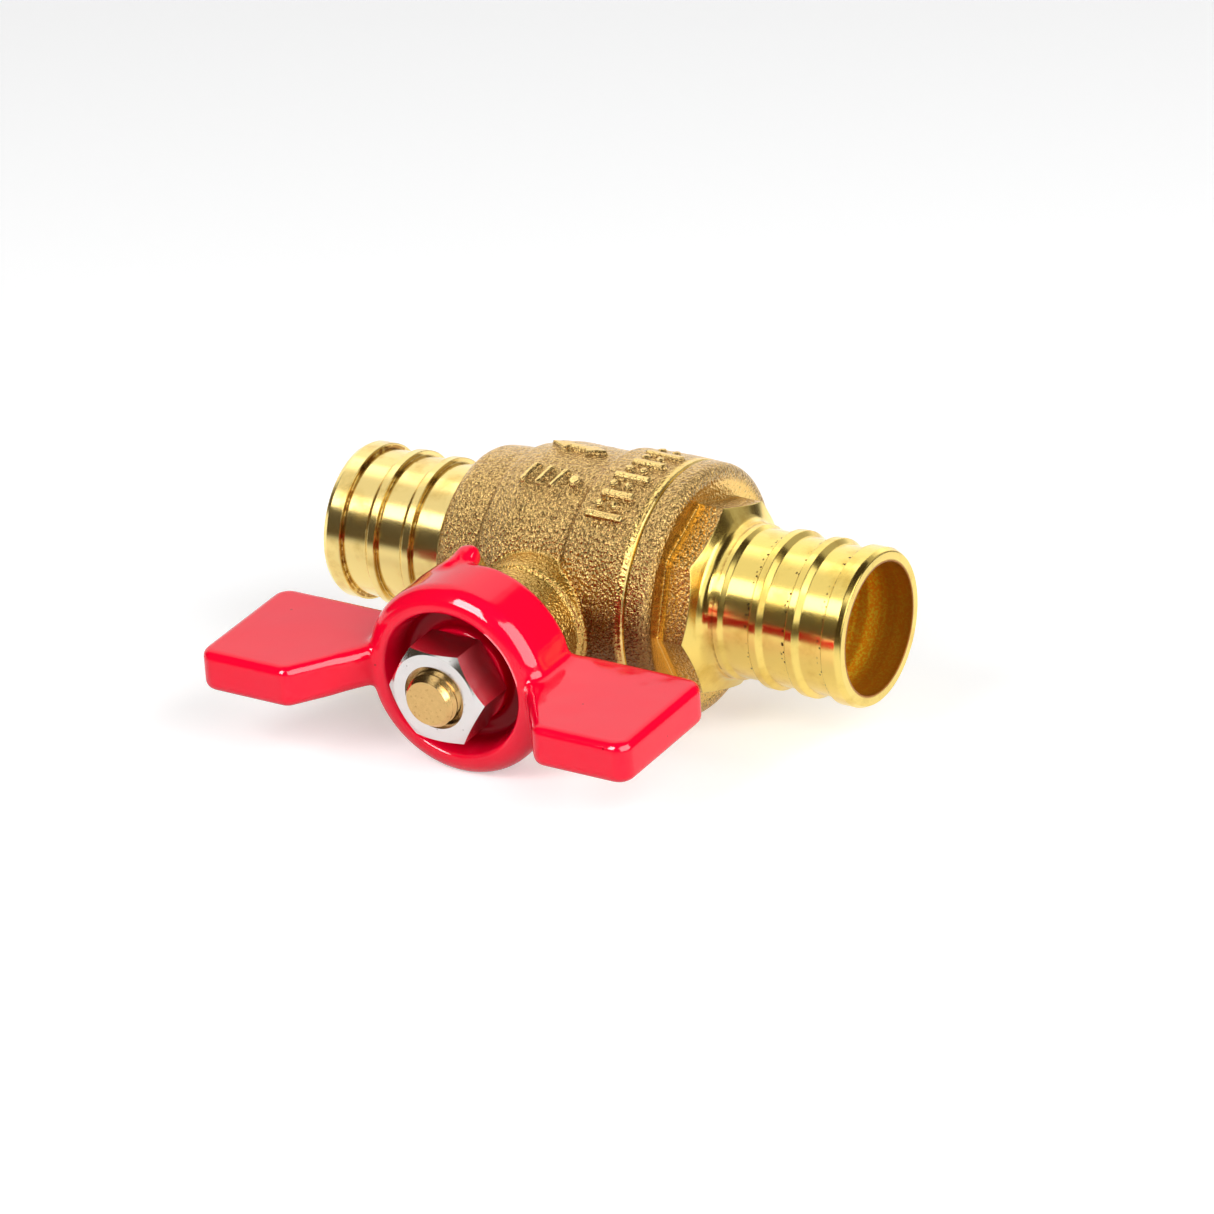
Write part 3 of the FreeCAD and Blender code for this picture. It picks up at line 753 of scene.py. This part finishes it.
def die_cast_metal():
    """Bare die-cast handle core: grey, satin, with flow marks."""
    surface = Surface("die_cast_metal")
    flow = surface.noise(surface.place, 2.5 * MM, 4.0, 0.6)
    skin = surface.noise(surface.place, 0.3 * MM, 2.0)
    colour = surface.mix(flow, (0.56, 0.56, 0.57, 1), (0.40, 0.40, 0.41, 1))
    normal = surface.bump(skin, 0.02 * MM)
    surface.set(Metallic=1.0, Base_Color=colour, Roughness=0.42, Normal=normal)
    return surface.material


# ---- soft materials -----------------------------------------------------------------

def red_vinyl():
    """Glossy dipped vinyl: even red with a slow ripple and dust specks, and painted shade in
    the recess.
    """
    surface = Surface("red_vinyl")
    ripple = surface.noise(surface.place, 4.5 * MM, 1.0)
    peel = surface.noise(surface.place, 0.9 * MM, 1.0)
    specks = surface.step(surface.cells(surface.place, 3.2 * MM), 0.05, 0.035)
    depth = surface.noise(surface.place, 8.0 * MM, 2.0)
    colour = surface.mix(depth, (0.86, 0.001, 0.022, 1), (0.80, 0.001, 0.030, 1))
    colour = surface.mix(specks, colour, (0.45, 0.0, 0.01, 1))
    from_stem = surface.around(surface.x, surface.z)
    # Painted shade: inside the recess the vinyl is painted dark red and reflects less,
    # standing in for the shade there.
    recess = surface.both(
        surface.step(from_stem, RECESS_RADIUS + 0.7 * MM, RECESS_RADIUS),
        surface.step(surface.y, -HUB_LIP + 0.6 * MM, -HUB_LIP + 3.4 * MM),
    )
    colour = surface.mix(recess, colour, (0.34, 0.0, 0.008, 1))
    normal = surface.bump(ripple, 0.08 * MM)
    normal = surface.bump(peel, 0.003 * MM, normal)
    surface.set(Base_Color=colour, Roughness=0.07, Normal=normal, IOR=1.43,
                Specular_IOR_Level=surface.blend(recess, 0.5, 0.15))
    return surface.material


def white_seal():
    """Pressed fluoropolymer: milky white, waxy, faintly mottled."""
    surface = Surface("white_seal")
    mottle = surface.noise(surface.place, 1.2 * MM, 3.0)
    colour = surface.mix(mottle, (0.88, 0.88, 0.86, 1), (0.80, 0.80, 0.77, 1))
    normal = surface.bump(surface.noise(surface.place, 0.3 * MM, 2.0), 0.01 * MM)
    surface.set(Base_Color=colour, Roughness=0.45, Normal=normal,
                Subsurface_Weight=0.2, Subsurface_Scale=1.0 * MM)
    return surface.material


def paint_parts():
    """Give each CAD node that no other piece replaces its material."""
    seal = white_seal()
    stem = stem_brass()
    paint(NODES["end_adapter"], adapter_brass())
    paint(NODES["handle_core"], die_cast_metal())
    paint(NODES["handle_nut"], nickel_plate())
    paint(NODES["ball"], chrome_ball())
    for node in ("stem", "packing_nut"):
        paint(NODES[node], stem)
    for node in ("body_seal", "seat_left", "seat_right", "stem_thrust_washer",
                 "packing_ring_lower", "packing_ring_upper"):
        paint(NODES[node], seal)


# ---- studio -------------------------------------------------------------------------

def heading(azimuth, elevation):
    """Unit vector away from the valve; azimuth 0 is in front, along -Y, and 90 is +X."""
    turn = math.radians(azimuth)
    lift = math.radians(elevation)
    return Vector((
        math.sin(turn) * math.cos(lift),
        -math.cos(turn) * math.cos(lift),
        math.sin(lift),
    ))


def resting_plane():
    """Tilt and depth of the plane just under both the drum and the handle's cup."""
    body = points_of(NODES["body"].data)
    handle = points_of(NODES["handle_skin"].data)
    low, high = 0.0, math.radians(20)
    for _ in range(30):
        tilt = (low + high) / 2
        normal = np.array((0.0, math.sin(tilt), math.cos(tilt)))
        if (handle @ normal).min() > (body @ normal).min():
            low = tilt
        else:
            high = tilt
    return tilt, float((body @ normal).min()) - 0.05 * MM


def floor_paper():
    """White paper that glows a little; mirrored, it glows more behind the valve and falls off
    into a painted dark, for the dark of the studio.

    The fall-off lies in front and at the right. behind is how far a place lies beyond the
    valve, away from the camera.
    """
    white = (0.82, 0.82, 0.82, 1)
    fibre = (0.80, 0.80, 0.80, 1)
    for_soft_light = (0.45, 0.45, 0.45, 1)
    dark = (0.08, 0.06, 0.04, 1)
    surface = Surface("floor_paper")
    path = surface.add("ShaderNodeLightPath").outputs
    behind = surface.math("SUBTRACT", surface.math("MULTIPLY", surface.y, 0.87),
                          surface.math("MULTIPLY", surface.x, 0.5))
    # Painted reflection: far off in front and at the right, mirrored rays see the paper
    # painted dark, for the dark studio.
    far = surface.both(
        surface.step(surface.around(surface.x, surface.y), 55 * MM, 130 * MM),
        surface.step(behind, 40 * MM, -20 * MM),
    )
    far = surface.math("MAXIMUM", far, surface.step(surface.x, 55 * MM, 95 * MM))
    away = surface.math("MULTIPLY", path["Is Glossy Ray"], far)
    fibres = surface.noise(surface.place, 2.0 * MM, 3.0)
    paper = surface.mix(fibres, white, fibre)
    # Painted shade: bounce light sees the paper darker, so less light comes back onto the
    # valve.
    paper = surface.mix(path["Is Diffuse Ray"], paper, for_soft_light)
    mirrored = surface.math("SUBTRACT", path["Is Glossy Ray"], away)
    # Painted light: mirrored rays see the paper glow, more behind the valve than in front.
    mirrored_glow = surface.blend(surface.step(behind, -30 * MM, 30 * MM), 0.18, 0.6)
    glow = surface.math("ADD", surface.math("MULTIPLY", path["Is Camera Ray"], 0.42),
                        surface.math("MULTIPLY", mirrored, mirrored_glow))
    surface.set(
        Base_Color=surface.mix(away, paper, dark), Roughness=0.9,
        Specular_IOR_Level=0.0, Emission_Color=(1, 1, 1, 1), Emission_Strength=glow,
    )
    return surface.material


def make_floor(tilt, depth):
    """A wide sheet of paper that the valve lies on."""
    half = 1.5
    data = bpy.data.meshes.new("floor")
    data.from_pydata(
        [(-half, -half, 0), (half, -half, 0), (half, half, 0), (-half, half, 0)], [],
        [(0, 1, 2, 3)],
    )
    floor = bpy.data.objects.new("floor", data)
    bpy.context.scene.collection.objects.link(floor)
    normal = Vector((0.0, math.sin(tilt), math.cos(tilt)))
    floor.rotation_euler = (-tilt, 0.0, 0.0)
    floor.location = normal * depth
    paint(floor, floor_paper())


def horizon_shade(shader, above_floor):
    """What metal mirrors by the angle above the floor: pale below it, and dark above it."""
    lowest = -30.0
    highest = 90.0
    stops = [
        (lowest, (0.9, 0.9, 0.9)), (-14, (0.75, 0.72, 0.68)), (-5, (0.35, 0.31, 0.25)),
        (1, (0.05, 0.035, 0.02)), (highest, (0.05, 0.04, 0.03)),
    ]
    shade = shader.add("ShaderNodeValToRGB", Fac=shader.math(
        "DIVIDE", shader.math("SUBTRACT", above_floor, lowest), highest - lowest))
    elements = shade.color_ramp.elements
    while len(elements) < len(stops):
        elements.new(0.5)
    for element, (angle, colour) in zip(elements, stops):
        element.position = (angle - lowest) / (highest - lowest)
        element.color = (*colour, 1)
    return shade.outputs["Color"]


def set_world(tilt):
    """White to the eye; reflections see a softbox, a white sheet behind and the dark."""
    sheet_white = (1.25, 1.23, 1.2, 1)
    box_white = (1.3, 1.3, 1.3, 1)
    soft_light = (0.15, 0.15, 0.15, 1)
    backdrop = (1, 1, 1, 1)
    world = bpy.data.worlds.new("studio")
    bpy.context.scene.world = world
    world.use_nodes = True
    shader = Shader(world.node_tree)
    shader.tree.nodes.clear()
    path = shader.add("ShaderNodeLightPath").outputs
    direction = shader.add("ShaderNodeTexCoord").outputs["Generated"]
    x, y, z = shader.split(direction)
    degrees = 180 / math.pi
    lift = shader.math("MULTIPLY", shader.math("ARCSINE", z), degrees)
    toward_front = shader.math("MULTIPLY", y, -1.0)
    turn = shader.math("MULTIPLY", shader.math("ARCTAN2", x, toward_front), degrees)
    turn_behind = shader.math("MULTIPLY", shader.math("ARCTAN2", x, y), degrees)
    rise = shader.math("ADD", shader.math("MULTIPLY", y, math.sin(tilt)),
                       shader.math("MULTIPLY", z, math.cos(tilt)))
    above_floor = shader.math("MULTIPLY", shader.math("ARCSINE", rise), degrees)
    studio = horizon_shade(shader, above_floor)
    sheet = shader.both(shader.between(turn_behind, -78, 4, 8),
                        shader.between(lift, -14, 58, 5))
    studio = shader.mix(sheet, studio, sheet_white)
    side = shader.both(shader.between(turn, 43, 112, 3), shader.between(lift, 1, 57, 3))
    studio = shader.mix(side, studio, box_white)
    plain = shader.mix(path["Is Camera Ray"], soft_light, backdrop)
    colour = shader.mix(path["Is Glossy Ray"], plain, studio)
    background = shader.add("ShaderNodeBackground", Color=colour, Strength=1.0)
    output = shader.tree.nodes.new("ShaderNodeOutputWorld")
    shader.tree.links.new(background.outputs[0], output.inputs[0])


def area_light(name, direction, distance, size, brightness):
    """A softbox of one width and height in metres that faces the valve."""
    toward = heading(*direction)
    width, height = size
    data = bpy.data.lights.new(name, "AREA")
    data.shape = "RECTANGLE"
    data.size = width
    data.size_y = height
    data.energy = brightness * math.pi * width * height
    light = bpy.data.objects.new(name, data)
    light.location = toward * distance
    light.rotation_euler = toward.to_track_quat("Z", "Y").to_euler()
    light.visible_camera = False
    bpy.context.scene.collection.objects.link(light)
    return light


def key_light(name, direction, size, brightness):
    """A softbox that lights everything, but doesn't show as a reflection."""
    light = area_light(name, direction, KEY_DISTANCE, size, brightness)
    light.visible_glossy = False


def mirror_light(name, pieces, direction, size, brightness):
    """A softbox that only shows as a reflection, and only in some pieces."""
    light = area_light(name, direction, MIRROR_DISTANCE, size, brightness)
    light.visible_diffuse = False
    group = bpy.data.collections.new(name + "_pieces")
    for piece in pieces:
        group.objects.link(piece)
    light.light_linking.receiver_collection = group


def set_lights(casting, skin):
    """Two softboxes give the light; mirrored ones are set for the brass and the handle."""
    brass = [casting, NODES["end_adapter"]]
    metal = [NODES["handle_nut"], NODES["stem"]]
    key_light("front_key", FRONT_BOX, (0.28, 0.41), 8.8)
    key_light("side_key", SIDE_BOX, (0.88, 0.68), 3.4)
    mirror_light("brass_strip", brass, (-37, 40.5), (0.17, 0.20), 3.2)
    mirror_light("brass_box", brass, (-10, 42), (0.26, 0.24), 4.2)
    mirror_light("brass_ceiling", brass, (-86, 58), (0.66, 0.34), 0.85)
    mirror_light("brass_fill", brass, (-60, 35), (1.4, 1.1), 0.05)
    mirror_light("brass_back", brass, (158, 24), (0.50, 0.60), 0.45)
    mirror_light("brass_side", brass, (98, 14), (0.35, 0.34), 2.4)
    mirror_light("front_box", [skin], FRONT_BOX, (0.26, 0.38), 22.0)
    mirror_light("nut_box", metal, FRONT_BOX, (0.26, 0.38), 1.2)
    mirror_light("side_box", [skin] + metal, SIDE_BOX, (0.80, 0.62), 6.5)


def set_camera():
    """A long lens from the front right and above, rolled slightly about its own axis."""
    azimuth = 32.76
    elevation = 27.07
    roll = math.radians(-3.96)
    distance = 887.5 * MM
    shift_right = -1.23 * MM
    shift_up = 4.39 * MM
    toward = heading(azimuth, elevation)
    level = Vector((math.cos(math.radians(azimuth)), math.sin(math.radians(azimuth)), 0.0))
    upright = toward.cross(level)
    right = level * math.cos(roll) + upright * math.sin(roll)
    up = upright * math.cos(roll) - level * math.sin(roll)
    data = bpy.data.cameras.new("camera")
    data.sensor_width = 36.0
    data.lens = 237.9
    data.clip_start = 0.01
    data.clip_end = 50.0
    camera = bpy.data.objects.new("camera", data)
    turn = Matrix((right, up, toward)).transposed()
    place = toward * distance - right * shift_right - up * shift_up
    camera.matrix_world = Matrix.Translation(place) @ turn.to_4x4()
    bpy.context.scene.collection.objects.link(camera)
    bpy.context.scene.camera = camera


paint_parts()
cast_body = make_casting()
dipped_skin = make_skin()
floor_tilt, floor_depth = resting_plane()
make_floor(floor_tilt, floor_depth)
set_world(floor_tilt)
set_lights(cast_body, dipped_skin)
set_camera()
bpy.context.scene.view_settings.view_transform = "Standard"
